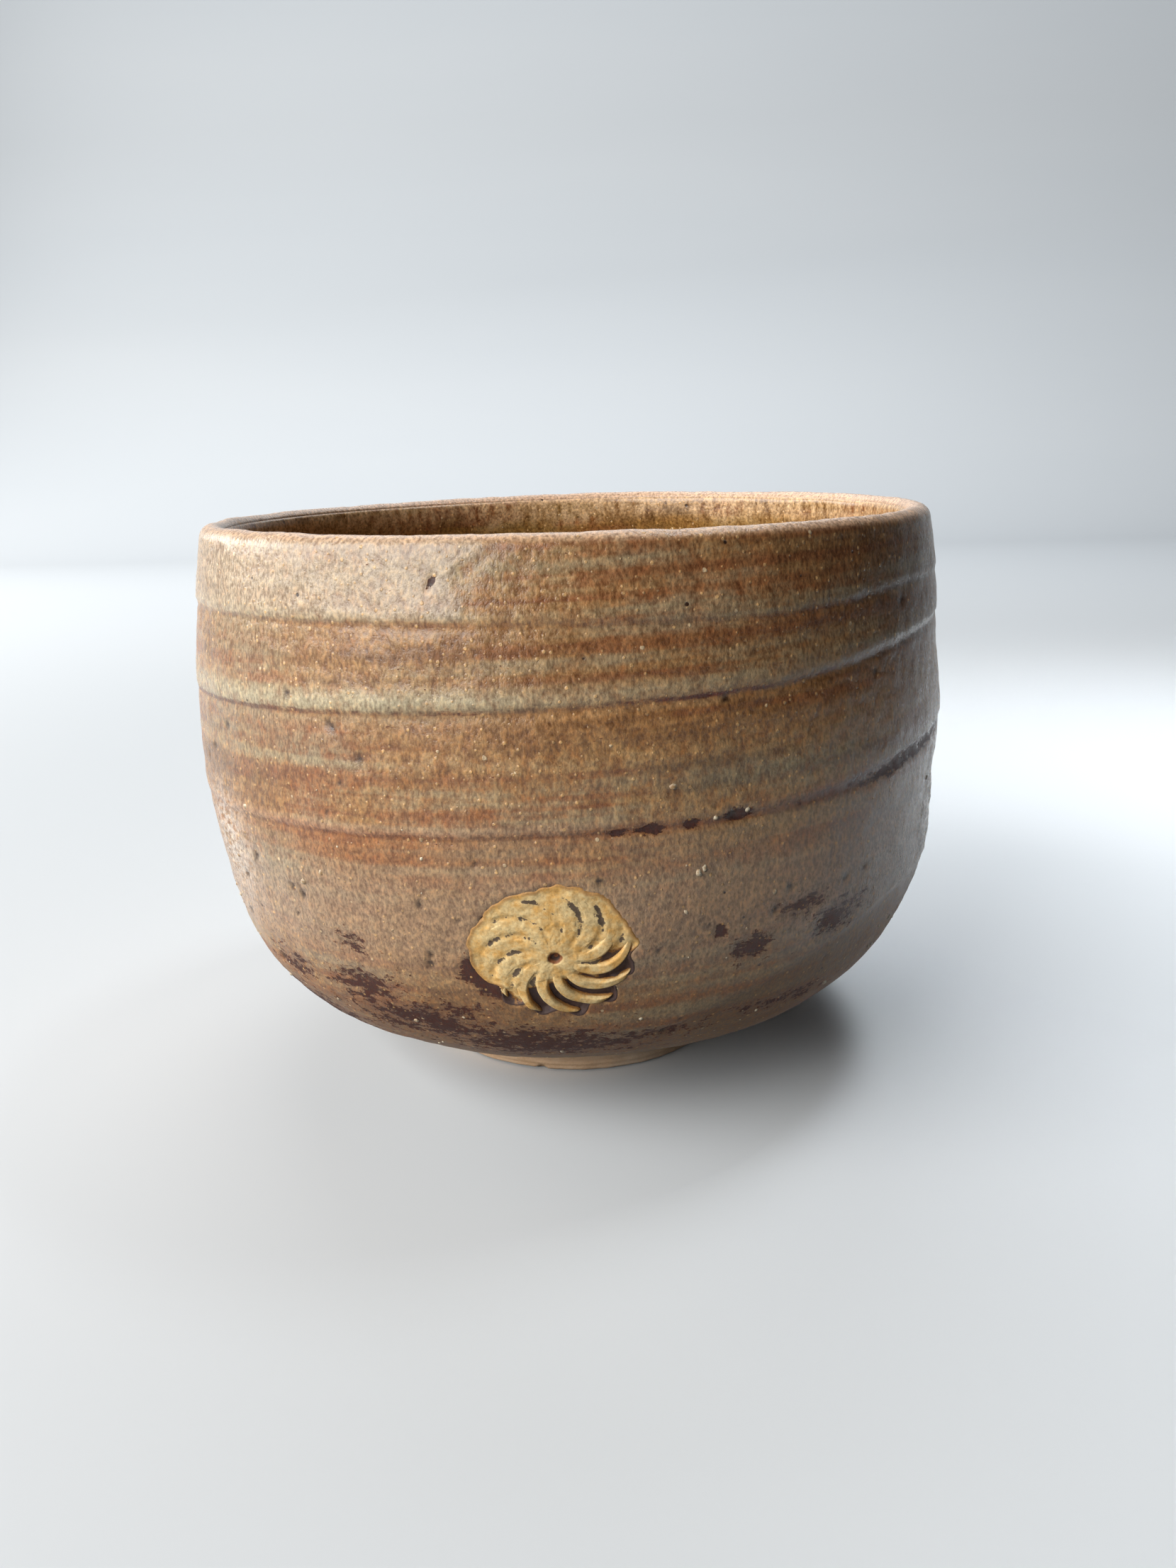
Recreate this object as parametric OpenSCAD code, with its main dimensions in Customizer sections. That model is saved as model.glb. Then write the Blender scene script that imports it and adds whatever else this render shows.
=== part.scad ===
// Matcha bowl: a wheel-thrown stoneware tea bowl on a turned foot ring.
// Z is up, the origin is the centre of the foot's ground face, and the flower faces -Y.

/* [Bowl] */
// Widest outside diameter of the wall
body_d = 118; // [112:1:124]
// Height from the ground to the top of the lip
body_h = 86.5; // [82:0.5:92]
// Height of the widest part of the wall
belly_z = 54; // [50:1:58]
// Height at which the outside curve would close on the axis
keel_z = 1.5; // [0:0.5:3]
// How far the wall leans in at the lip
rim_lean = 3; // [1:0.5:5]
// Thickness of the wall at the belly, coats included
wall_t = 5.2; // [4.6:0.1:6.4]
// Thickness of the rounded lip
lip_t = 3.8; // [3.2:0.1:4.4]
// Thickness of the floor, coats included
floor_t = 6.5; // [5.5:0.5:8]

/* [Throwing grooves] */
// Depth of a throwing groove
groove_depth = 0.45; // [0.1:0.05:0.6]
// Half width of a throwing groove
groove_w = 1.7; // [1.2:0.1:2.5]

/* [Foot] */
// Outside diameter of the foot ring at the ground
foot_d = 50; // [46:1:54]
// Height of the foot ring, and depth of the recess inside it
foot_h = 5.5; // [5:0.1:6.5]
// Width of the foot ring at the ground
foot_w = 6; // [5:0.5:8]
// Bevel on the two ground edges of the foot ring
foot_bevel = 0.8; // [0.4:0.1:1.2]

/* [Coats] */
// Thickness of the ash glaze, inside and outside
glaze_t = 0.6; // [0.4:0.1:0.9]
// Depth of the glaze pool at the centre of the floor
pool_t = 1.8; // [1:0.1:2.4]

/* [Flower] */
// Diameter of the round slip inlay
flower_d = 22; // [18:1:24]
// Height of the flower's centre
flower_z = 34; // [32:0.5:38]
// Number of petals
petals = 12; // [9:1:14]
// Height of the petals above the glaze
petal_t = 0.4; // [0.3:0.1:0.8]
// How far a petal turns between its root and its tip, in degrees
petal_sweep = 46; // [20:2:60]
// Diameter of the pit at the flower's centre
pit_d = 2.6; // [2:0.2:3.4]

/* [Grains] */
// Number of feldspar grains that show on the outside
grains = 26; // [10:2:36]
// Radius of the largest grain
grain_r = 0.75; // [0.5:0.05:0.9]

/* [Hidden] */
$fn = 96;

body_r = body_d / 2;
lip_r = lip_t / 2;
inner_r = body_r - wall_t;
floor_z = foot_h + floor_t;
lip_z = body_h - lip_r;             // height of the centre of the lip's round
outer_power = [3, 2.4];             // exponents of the outside curve, along the axis and across it
inner_power = [3.4, 2.4];           // the same for the inside curve, which is squarer
groove_zs = [51, 66, 76.5];         // heights of the three deepest throwing grooves
turn_z = groove_zs[0] - 4;          // the outline has close, even points from here up to the lip
curve_steps = 22;
upper_steps = 26;
lip_steps = 6;
feather = 4;                        // points over which a coat thins out to nothing at the foot
petal_steps = 8;
recess_r = foot_d / 2 - foot_w;
foot_top_r = outer_r(foot_h);
golden_angle = 137.508;             // spreads the grains evenly round the wall

// Radius of a curve that swells from the axis at z0 to radius r at the belly.
function swell(z, r, z0, power) =
    r * pow(max(0, 1 - pow((belly_z - z) / (belly_z - z0), power[0])), 1 / power[1]);

// Radius of a wall that leans in above the belly, from r to r - lean at the lip.
function leaning(z, r, lean) = r - lean * pow((z - belly_z) / (body_h - belly_z), 2);

function grooves(z) =
    groove_depth * max([for (g = groove_zs) exp(-pow((z - g) / groove_w, 2))]);

function outer_r(z) =
    (z < belly_z ? swell(z, body_r, keel_z, outer_power) : leaning(z, body_r, rim_lean)) - grooves(z);

function inner_wall_r(z) =
    z < belly_z ? swell(z, inner_r, floor_z, inner_power)
                : leaning(z, inner_r, inner_r - (body_r - rim_lean - lip_t));

lip_centre = [(outer_r(lip_z) + inner_wall_r(lip_z)) / 2, lip_z];
lip_half = (outer_r(lip_z) - inner_wall_r(lip_z)) / 2;

outside_path = concat(
    [for (i = [0:curve_steps - 1]) let (z = foot_h + (turn_z - foot_h) * pow(i / curve_steps, 1.6))
        [outer_r(z), z]],
    [for (i = [0:upper_steps]) let (z = turn_z + (lip_z - turn_z) * i / upper_steps) [outer_r(z), z]],
    [for (i = [1:lip_steps]) let (a = 90 * i / lip_steps)
        lip_centre + [lip_half * cos(a), lip_r * sin(a)]]);

inside_path = concat(
    [for (i = [0:lip_steps]) let (a = 90 + 90 * i / lip_steps)
        lip_centre + [lip_half * cos(a), lip_r * sin(a)]],
    [for (i = [1:curve_steps]) let (z = lip_z + (floor_z - lip_z) * (1 - pow(1 - i / curve_steps, 1.8)))
        [inner_wall_r(z), z]]);

// The direction from a point's neighbour before to its neighbour after, turned to point outwards.
function normal(path, i) =
    let (a = path[max(0, i - 1)], b = path[min(len(path) - 1, i + 1)], d = (b - a) / norm(b - a))
        [d[1], -d[0]];

outside_clay = [for (i = [0:len(outside_path) - 1])
    let (inward = i == len(outside_path) - 1 ? [0, 1] : normal(outside_path, i))
        outside_path[i] - glaze_t * min(1, i / feather) * inward];

// The inside coat thickens into a pool over the flat of the floor.
function pool(r) = glaze_t + (pool_t - glaze_t) * max(0, 1 - pow(r / (inner_r * 0.62), 2));

inside_clay = [for (i = [0:len(inside_path) - 1]) let (p = inside_path[i])
    i == 0 ? p - [0, glaze_t]
    : i == len(inside_path) - 1 ? p - [0, pool_t]
    : p - pool(p[0]) * normal(inside_path, i)];

function reversed(list) = [for (i = [len(list) - 1:-1:0]) list[i]];
function rest_of(list) = [for (i = [1:len(list) - 1]) list[i]];

module spun(points) rotate_extrude() polygon(points);

// Everything inside the bowl's outer surface, with that surface moved out by t.
module outer_solid(t) {
    path = [for (i = [0:len(outside_path) - 1]) outside_path[i] + t * normal(outside_path, i)];
    spun(concat([[0, foot_h - t]], [[path[0][0], foot_h - t]], path, [[0, path[len(path) - 1][1]]]));
}

module outer_coat() spun(concat(outside_path, reversed(rest_of(outside_clay))));

// A round bar that reaches out through the wall along -Y at the flower's place.
module flower_bar(d) translate([0, 0, flower_z]) rotate([90, 0, 0]) cylinder(d = d, h = body_d);

// One curved petal seen from the front, from its root at the pit to its round tip.
module petal_outline(turn) {
    root = pit_d / 2 + 0.6;
    tip = flower_d / 2 - 0.5;
    // s runs from 0 at the root to 1 at the tip, and side is 1 or -1.
    function reach(s) = root + (tip - root) * s;
    function half_angle(s) = (12 + 694 / petals * sin(128 * pow(s, 0.8))) / reach(s);
    function edge(s, side) =
        let (a = turn + petal_sweep * s * s + side * half_angle(s)) reach(s) * [cos(a), sin(a)];
    polygon(concat([for (i = [0:petal_steps]) edge(i / petal_steps, 1)],
                   [for (i = [petal_steps:-1:0]) edge(i / petal_steps, -1)]));
}

module petal_prism(turn)
    translate([0, 0, flower_z]) rotate([90, 0, 0]) linear_extrude(body_d) petal_outline(turn);

module clay_body() {
    color("#a97f57")
        spun(concat([[0, foot_h]], outside_clay, rest_of(inside_clay)));
}

module foot_ring() {
    color("#c79f70") spun([
        [recess_r + foot_bevel, 0],
        [foot_d / 2 - foot_bevel, 0],
        [foot_d / 2, foot_bevel],
        [foot_top_r, foot_h],
        [recess_r - 0.8, foot_h],
        [recess_r, foot_bevel]]);
}

module outer_glaze() {
    color("#8b6a45") difference() {
        outer_coat();
        flower_bar(flower_d);
    }
}

module inner_glaze() {
    color("#9a7a45") spun(concat(inside_path, reversed(inside_clay)));
}

module flower_slip() {
    color("#cda75f") intersection() {
        outer_coat();
        difference() {
            flower_bar(flower_d);
            flower_bar(pit_d);
        }
    }
}

module flower_petals() {
    color("#dcb96c") difference() {
        intersection() {
            outer_solid(petal_t);
            union() for (i = [0:petals - 1]) petal_prism(360 * i / petals);
        }
        outer_solid(0);
    }
}

// A grain's place: its turn round the axis and its height.
function grain_turn(i) = (i * golden_angle) % 360;
function grain_z(i) = 16 + 64 * ((i * 0.618) % 1);
function wall_tilt(z) = atan2(outer_r(z - 0.5) - outer_r(z + 0.5), 1);

// Grains break through the glaze as low caps, and none lies under the flower.
module feldspar_grains() {
    color("#efe5cf") for (i = [0:grains - 1]) {
        z = grain_z(i);
        r = grain_r * (0.55 + 0.45 * ((i * 0.37) % 1));
        clear = abs(grain_turn(i) - 270) > 22 || abs(z - flower_z) > flower_d / 2 + 4;
        if (clear)
            rotate([0, 0, grain_turn(i)]) translate([outer_r(z), 0, z]) rotate([0, 90 - wall_tilt(z), 0])
                difference() {
                    translate([0, 0, -0.3 * r]) sphere(r = r);
                    translate([-r, -r, -2 * r]) cube([2 * r, 2 * r, 2 * r]);
                }
    }
}

clay_body();
foot_ring();
outer_glaze();
inner_glaze();
flower_slip();
flower_petals();
feldspar_grains();
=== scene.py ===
import math
import random

import bmesh
import bpy
import numpy as np
from mathutils import Euler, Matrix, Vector, noise


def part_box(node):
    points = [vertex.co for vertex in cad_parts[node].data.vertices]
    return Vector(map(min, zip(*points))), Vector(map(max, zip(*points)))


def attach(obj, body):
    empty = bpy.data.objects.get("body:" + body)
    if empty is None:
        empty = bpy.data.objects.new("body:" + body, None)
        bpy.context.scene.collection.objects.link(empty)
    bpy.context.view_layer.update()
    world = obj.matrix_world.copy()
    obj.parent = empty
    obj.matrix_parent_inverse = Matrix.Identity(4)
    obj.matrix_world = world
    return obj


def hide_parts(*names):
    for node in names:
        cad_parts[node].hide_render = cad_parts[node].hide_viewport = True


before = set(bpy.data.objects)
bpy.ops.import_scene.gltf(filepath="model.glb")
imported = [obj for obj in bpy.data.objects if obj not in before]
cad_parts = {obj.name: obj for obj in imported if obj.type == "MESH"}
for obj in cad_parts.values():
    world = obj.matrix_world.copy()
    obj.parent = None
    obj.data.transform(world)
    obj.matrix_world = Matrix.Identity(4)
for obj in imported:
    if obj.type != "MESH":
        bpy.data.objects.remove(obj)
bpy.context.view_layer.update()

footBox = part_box("foot_ring")
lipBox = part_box("inner_glaze")
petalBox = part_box("flower_petals")

# Lengths in the dictionaries are millimetres and angles are degrees. Turn 0 is the front (-Y) and +90 is +X.
mm = 0.001


def hexToLinear(text):
    channels = [int(text[i:i + 2], 16) / 255 for i in (1, 3, 5)]
    return (*[c / 12.92 if c <= 0.04045 else ((c + 0.055) / 1.055) ** 2.4 for c in channels], 1.0)


def tonesOf(look):
    return {key: hexToLinear(value) for key, value in look.items() if isinstance(value, str)}


# Settings that many nodes share
multiply = {"operation": "MULTIPLY"}
multiplyAdd = {"operation": "MULTIPLY_ADD"}
subtract = {"operation": "SUBTRACT"}
eased = {"interpolation_type": "SMOOTHSTEP"}
inColour = {"data_type": "RGBA"}
tinting = {"data_type": "RGBA", "blend_type": "MULTIPLY"}


def addNode(material, kind, settings=None, sockets=None):
    # A socket given a node or a socket is linked to it, and one given a value keeps that value.
    node = material.node_tree.nodes.new("ShaderNode" + kind)
    for key, value in (settings or {}).items():
        if key == "stops":
            elements = node.color_ramp.elements
            elements.remove(elements[1])
            elements[0].position, elements[0].color = value[0]
            for position, colour in value[1:]:
                elements.new(position).color = colour
        else:
            setattr(node, key, value)
    for key, value in (sockets or {}).items():
        socket = node.inputs[key] if isinstance(key, int) else next(
            s for s in node.inputs if s.name == key and s.enabled)
        if isinstance(value, bpy.types.Node):
            value = next(s for s in value.outputs if s.enabled)
        if isinstance(value, bpy.types.NodeSocket):
            material.node_tree.links.new(value, socket)
        else:
            socket.default_value = value
    return node


def startMaterial(name):
    # An empty material, and the place on it in mm, from which its patterns take their size.
    material = bpy.data.materials.new(name)
    material.use_nodes = True
    material.node_tree.nodes.clear()
    origin = addNode(material, "TexCoord").outputs["Object"]
    return material, addNode(material, "VectorMath", {"operation": "SCALE"}, {0: origin, "Scale": 1 / mm})


def closeMaterial(material, colour, roughness, relief, ior):
    # The relief is in mm and too fine for the mesh.
    bump = addNode(material, "Bump", None, {"Height": relief, "Distance": mm, "Strength": 1.0})
    shader = addNode(material, "BsdfPrincipled", None,
                     {"Base Color": colour, "Roughness": roughness, "Normal": bump, "IOR": ior})
    addNode(material, "OutputMaterial", None, {"Surface": shader})
    return material


def weighted(material, *terms):
    # The sum of some patterns, each times its weight.
    total = 0.0
    for pattern, weight in terms:
        total = addNode(material, "Math", multiplyAdd, {0: pattern, 1: weight, 2: total})
    return total


def scattered(material, spot, spacing, rarity, size, softness, most, ragged=(0.0, 0.0)):
    # Round dots in some cells of a pattern, each up to size cells in radius, and each cell's random colour.
    cell = addNode(material, "TexVoronoi", None, {"Vector": spot, "Scale": 1 / spacing})
    pick = addNode(material, "SeparateColor", None, {0: cell.outputs["Color"]})
    reach = addNode(material, "MapRange", None, {0: pick.outputs[0], "From Min": rarity, "To Max": size})
    away = weighted(material, ragged, (cell, 1.0))
    within = addNode(material, "Math", subtract, {0: reach, 1: away})
    return addNode(material, "MapRange", None, {0: within, "From Max": softness, "To Max": most}), pick


def stacked(*parts):
    return np.stack(np.broadcast_arrays(*parts), -1)


def smoothStep(low, high, value):
    t = np.clip((value - low) / (high - low), 0, 1)
    return t * t * (3 - 2 * t)


def bell(value, width):
    return np.exp(-(value / width) ** 2)


def turnGap(a, turn):
    # Shortest way round from a turn in degrees to angles a in radians, in degrees.
    return (np.degrees(a) - turn + 180) % 360 - 180


def fieldNoise(points, size, octaves=3, seed=0.0):
    # Smooth noise about -1 to 1 at points in mm, whose lumps are about size mm across.
    shift = Vector((seed * 17.3, seed * 9.1, seed * 23.7))
    scale = 1 / size
    values = [noise.fractal(Vector(p) * scale + shift, 0.9, 2.1, octaves)
              for p in points.reshape(-1, 3).tolist()]
    return np.array(values).reshape(points.shape[:-1])


# The bowl's wall, as thrown

bowl = {
    "widestRadius": 59.0,
    "widestHeight": 54.0,
    "footHeight": footBox[1].z / mm,
    "height": lipBox[1].z / mm,
    "keelHeight": 1.5,        # where the outside curve would close on the axis
    "lean": 3.0,              # how far the wall leans in at the lip
    "wallThickness": 5.2,
    "lipThickness": 3.8,
    "floorThickness": 6.5,
    "outsidePower": (3.0, 2.4),
    "insidePower": (3.4, 2.4),
    "glazeThickness": 0.6,
    "poolThickness": 1.8,
    "columns": 560,           # round the bowl, about 0.65 mm apart at the belly
}

# Places where the hand or the trimming knife moved the wall: turn, height, spread of each, and how far out.
handMarks = [
    (-70, 37, 34, 9, -0.85),
    (-64, 18, 36, 8, 0.9),
    (78, 66, 34, 8, -0.55),
    (78, 45, 34, 7, -0.8),
    (64, 9, 46, 6, -1.5),
    (2, 7, 48, 5, -2.6),
    (150, 40, 50, 14, 0.5),
    (-160, 62, 40, 12, -0.45),
]

lipRadius = bowl["lipThickness"] / 2
lipHeight = bowl["height"] - lipRadius
floorHeight = bowl["footHeight"] + bowl["floorThickness"]
insideRadius = bowl["widestRadius"] - bowl["wallThickness"]


def swell(z, radius, startZ, power):
    t = np.clip((bowl["widestHeight"] - z) / (bowl["widestHeight"] - startZ), 0, 1)
    return radius * (1 - t ** power[0]) ** (1 / power[1])


def leaning(z, radius, lean):
    span = bowl["height"] - bowl["widestHeight"]
    return radius - lean * (np.clip(z - bowl["widestHeight"], 0, None) / span) ** 2


def outsideBase(z):
    low = swell(z, bowl["widestRadius"], bowl["keelHeight"], bowl["outsidePower"])
    return np.where(z < bowl["widestHeight"], low, leaning(z, bowl["widestRadius"], bowl["lean"]))


def insideBase(z):
    lean = insideRadius - (bowl["widestRadius"] - bowl["lean"] - bowl["lipThickness"])
    low = swell(z, insideRadius, floorHeight, bowl["insidePower"])
    return np.where(z < bowl["widestHeight"], low, leaning(z, insideRadius, lean))


def skinPath():
    # The whole skin as one line of (radius, height): up the outside, over the lip, down inside to the axis.
    t = np.linspace(0, 1, 700)
    outsideZ = bowl["footHeight"] + (lipHeight - bowl["footHeight"]) * t ** 1.3
    centre = (outsideBase(lipHeight) + insideBase(lipHeight)) / 2
    half = (outsideBase(lipHeight) - insideBase(lipHeight)) / 2
    bend = np.radians(np.linspace(3, 177, 90))
    insideZ = lipHeight + (floorHeight - lipHeight) * (1 - (1 - t) ** 2.4)
    outside = np.stack([outsideBase(outsideZ), outsideZ], -1)
    lip = np.stack([centre + half * np.cos(bend), lipHeight + lipRadius * np.sin(bend)], -1)
    inside = np.stack([insideBase(insideZ), insideZ], -1)
    return np.concatenate([outside, lip, inside, [[0, floorHeight]]])


def walkPath(path, spacing):
    # Points along a path, with the gap between them given by spacing(radius, height).
    steps = np.linalg.norm(np.diff(path, axis=0), axis=1)
    length = np.concatenate([[0], np.cumsum(steps)])
    rate = 1 / spacing(path[:, 0], path[:, 1])
    count = np.concatenate([[0], np.cumsum((rate[1:] + rate[:-1]) / 2 * steps)])
    wanted = np.linspace(0, count[-1], int(round(count[-1])) + 1)
    at = np.interp(wanted, count, length)
    return np.stack([np.interp(at, length, path[:, k]) for k in (0, 1)], -1)


def pathNormals(points):
    along = np.gradient(points, axis=0)
    along /= np.linalg.norm(along, axis=1, keepdims=True)
    return np.stack([along[:, 1], -along[:, 0]], -1)


def handWarp(a, r, z):
    # A thrown bowl is never quite round: how far a point moves out and up.
    out = 0.30 * np.cos(2 * (a - 0.6)) + 0.18 * np.cos(3 * (a + 1.1))
    for turn, height, turnSpread, heightSpread, amount in handMarks:
        out = out + amount * bell(turnGap(a, turn), turnSpread) * bell(z - height, heightSpread)
    up = (0.35 * np.cos(a - 2.7) + 0.18 * np.cos(2 * a + 0.8)) * smoothStep(45, bowl["height"], z)
    return out * np.clip(r / bowl["widestRadius"], 0, 1), up


def place(a, r, z):
    # Turn, radius and height in mm to points in the row frame, in metres.
    out, up = handWarp(a, r, z)
    return stacked((r + out) * np.sin(a), -(r + out) * np.cos(a), z + up) * mm


# Throwing rings: one groove that climbs round the wall from the belly to just under the lip

rings = {
    "startHeight": 50.6,      # at the front, first time round
    "kick": 2.1,              # how much steeper it climbs on the right, and settles again behind
    "ridge": 0.17,            # how far the lip of clay above the groove stands out
    "ridgeReach": 4.2,
    "dip": 0.15,              # how far the wall draws in under it
    "dipReach": 4.5,
    "cut": 0.16,              # the sharp line between the two
    "cutWidth": 0.45,
    "pale": (0.55, 1.0, 0.35),      # how much ash gathered above the groove, on each lap; on the top lap the pale band is painted sheen
    "paleReach": (1.6, 3.2, 2.0),
    "rusty": (0.42, 0.4, 0.3),      # how rusty the clay is below it
    "fades": (-24, 26, 110, 160),    # turns between which the ash thins out, and comes back
    "fadedBy": 0.85,
    "dark": (0.3, 1.0, 0.7),         # how dark the line in the groove is, on each lap
    "widens": (55, 26, 3.0),         # where the lowest lap opens into a dark furrow: turn, spread, how much
}


def ringHeight(turns):
    # The climb is even for one turn and then levels out towards the lip.
    s = np.clip(turns - 1, 0, 1.6)
    upper = 66.4 + 14.4 * s + 0.9 * s ** 2 - 5.4 * s ** 3 * np.where(s > 1, 1.02, 1)
    part = (turns + 0.5) % 1 - 0.5
    kick = rings["kick"] * smoothStep(0.07, 0.17, part) * (1 - smoothStep(0.28, 0.48, part))
    return kick + np.where(turns < 1, rings["startHeight"] + 15.7 * turns, upper)


def ringField(a, z):
    # Height above the nearest groove, its strength, its push on the wall, and the bands of colour by it.
    gap = np.full(np.broadcast(a, z).shape, 99.0)
    power, push, pale, rusty = (np.zeros(gap.shape) for _ in range(4))
    start, end, back, full = rings["fades"]
    faded = smoothStep(start, end, np.degrees(a)) * (1 - smoothStep(back, full, np.degrees(a)))
    thinner = 1 - rings["fadedBy"] * faded
    for lap in (0, 1, 2):
        turns = a / (2 * np.pi) + lap
        above = z - ringHeight(turns)
        strength = smoothStep(-0.34, -0.2, turns) * (1 - smoothStep(2.12, 2.4, turns))
        strength = strength * (0.8 + 0.2 * np.cos(turns * 11.0)) * np.where(turns > 1.6, 0.75, 1)
        side = smoothStep(-0.55, 0.45, above)
        shape = side * rings["ridge"] * bell(above, rings["ridgeReach"])
        shape = shape - (1 - side) * rings["dip"] * bell(above, rings["dipReach"])
        shape = shape - rings["cut"] * bell(above + 0.3, rings["cutWidth"])
        push = push + strength * shape
        reach = above / rings["paleReach"][lap]
        # the pale band: ash above the groove, and painted sheen on the top lap
        ash = thinner * rings["pale"][lap] * smoothStep(-0.1, 0.1, reach) * (1 - smoothStep(0.4, 1.1, reach))
        pale = pale + strength * ash
        below = smoothStep(0.2, -0.5, above) * smoothStep(-6.5, -2.0, above)
        rusty = rusty + strength * rings["rusty"][lap] * below
        turn, spread, amount = rings["widens"]
        opening = bell(turnGap(a, turn), spread) * (lap == 0)
        apparent = above / (1 + amount * opening)
        nearer = np.abs(apparent) < np.abs(gap)
        gap = np.where(nearer, apparent, gap)
        power = np.where(nearer, np.maximum(strength * rings["dark"][lap], opening), power)
    # The power is gone half way between two laps, so that the colours don't see the jump there.
    power = power * (1 - smoothStep(2.5, 4.5, np.abs(gap)))
    return gap, power, push, pale, rusty


# Marks in the skin

marks = {
    "lumps": ((26, 0.28), (9, 0.12), (3.2, 0.07), (1.9, 0.05)),   # size and height of the unevenness
    "throwing": (3.0, 0.07),                         # spacing and height of the faint finger lines
    "pits": 110,
    "pitRadius": (0.45, 1.0),
    "pitDepth": (0.15, 0.4),
    "nick": (-13.6, 81.0, 2.2, 0.75, 0.5),           # turn, height, length, width, depth
}

# The pale skin of ash above the top groove, with a painted window reflection in its colour: where it starts
# and ends, how ragged its end is, and how thick.
ashSkin = {"turns": (-150, -8), "ragged": 3.0, "lift": 0.10}

# Where the glaze is greyer and greener: turn, height, spread of each, strength.
mossPlaces = [(-42, 42, 9, 5, 0.8), (-52, 62, 16, 5, 0.6), (-34, 60, 8, 2.2, 0.5), (-20, 66, 16, 3, 0.4),
              (-50, 78, 14, 8, 0.5), (30, 57, 20, 2.0, 0.7), (-10, 83, 12, 2.2, 0.4), (20, 45, 14, 3, 0.4),
              (12, 34, 9, 5, 0.35), (120, 60, 40, 9, 0.5), (-150, 48, 30, 8, 0.5)]

# Rough scabs of ash on the flanks: turn, height, spread of each, strength.
crustPlaces = [(-56, 42, 7, 8, 1.0), (-60, 32, 7, 6, 0.45), (69, 44, 9, 9, 0.8), (72, 33, 10, 6, 0.5),
               (38, 33.5, 5, 2.6, 0.6), (150, 38, 14, 8, 0.7), (-140, 30, 12, 7, 0.8)]

# Where the glaze has drawn back and the clay is burnt dark: turn, height, spread of each, strength.
burntPlaces = [(-29, 26, 8, 4.0, 0.85), (-20, 21, 14, 4.2, 0.9), (-3, 18, 20, 4.6, 0.95),
               (14, 19.6, 12, 1.5, 0.8), (-29, 33, 4, 3.0, 0.6), (-52, 17, 22, 5.5, 0.9),
               (-10.4, 31.4, 2.4, 2.2, 1.8), (-8.4, 28.6, 2.0, 2.0, 1.2),
               (26, 32.5, 4, 2.6, 0.9), (40, 34, 6, 3.2, 0.9), (33, 37.5, 5, 2.0, 0.85),
               (21, 36, 1.0, 1.0, 1.3),
               (8, 50.6, 1.4, 0.6, 1.3), (12, 50.8, 1.8, 0.7, 1.4), (17, 51.1, 1.3, 0.6, 1.2),
               (23, 51.5, 2.0, 0.8, 1.5),
               (35, 21, 14, 2.0, 0.7), (-45, 26, 8, 3.4, 0.7), (-15, 24, 8, 2.6, 0.7),
               (120, 19, 30, 4, 0.9), (-150, 20, 34, 4, 0.9), (170, 33, 8, 3, 0.7), (-100, 31, 9, 3, 0.7)]

# Where the glaze is darker and browner: turn, height, spread of each, strength. The broad patches on the
# right side, away from the windows, are painted shade.
darkGlazeAndShadePlaces = [(58, 76, 24, 14, 1.4), (24, 72, 10, 3.5, 0.5), (-45, 72.5, 22, 3.0, 0.45),
                (-8, 72.5, 20, 2.6, 0.5), (-30, 57, 26, 5, 0.3), (60, 58, 16, 5, 0.6),
                (-30, 19, 40, 8, 0.6), (165, 60, 40, 20, 0.7)]


def patches(a, z, places):
    total = np.zeros(np.broadcast(a, z).shape)
    for turn, height, turnSpread, heightSpread, strength in places:
        patch = bell(turnGap(a, turn), turnSpread) * bell(z - height, heightSpread)
        total = np.maximum(total, strength * patch)
    return total


def ashCoatAndSheenAt(a, z, spot):
    # 1 where the pale skin of ash and its painted window reflection lie: above the top groove, and only part
    # of the way round.
    start, end = ashSkin["turns"]
    turn = turnGap(a, 0) + ashSkin["ragged"] * fieldNoise(spot, 3.0, 4, 51.0)
    lap = np.where(a < 0, 2, 1)
    above = z - ringHeight(a / (2 * np.pi) + lap) + 0.35 * fieldNoise(spot, 1.6, 3, 52.0)
    across = smoothStep(start, start + 30, turn) * (1 - smoothStep(end - 1.5, end, turn))
    return across * smoothStep(0, 0.5, above)


def ledgeHeight(a):
    # Height of the edge of the trimmed zone, which climbs to the right.
    turn = turnGap(a, 0)
    return 15 + 19 * smoothStep(-10, 62, turn) - 16 * smoothStep(95, 175, turn)


random.seed(7)
pitList = [(random.uniform(-180, 180), random.triangular(14, 80, 30), random.uniform(*marks["pitRadius"]),
            random.uniform(*marks["pitDepth"])) for _ in range(marks["pits"])]


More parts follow.
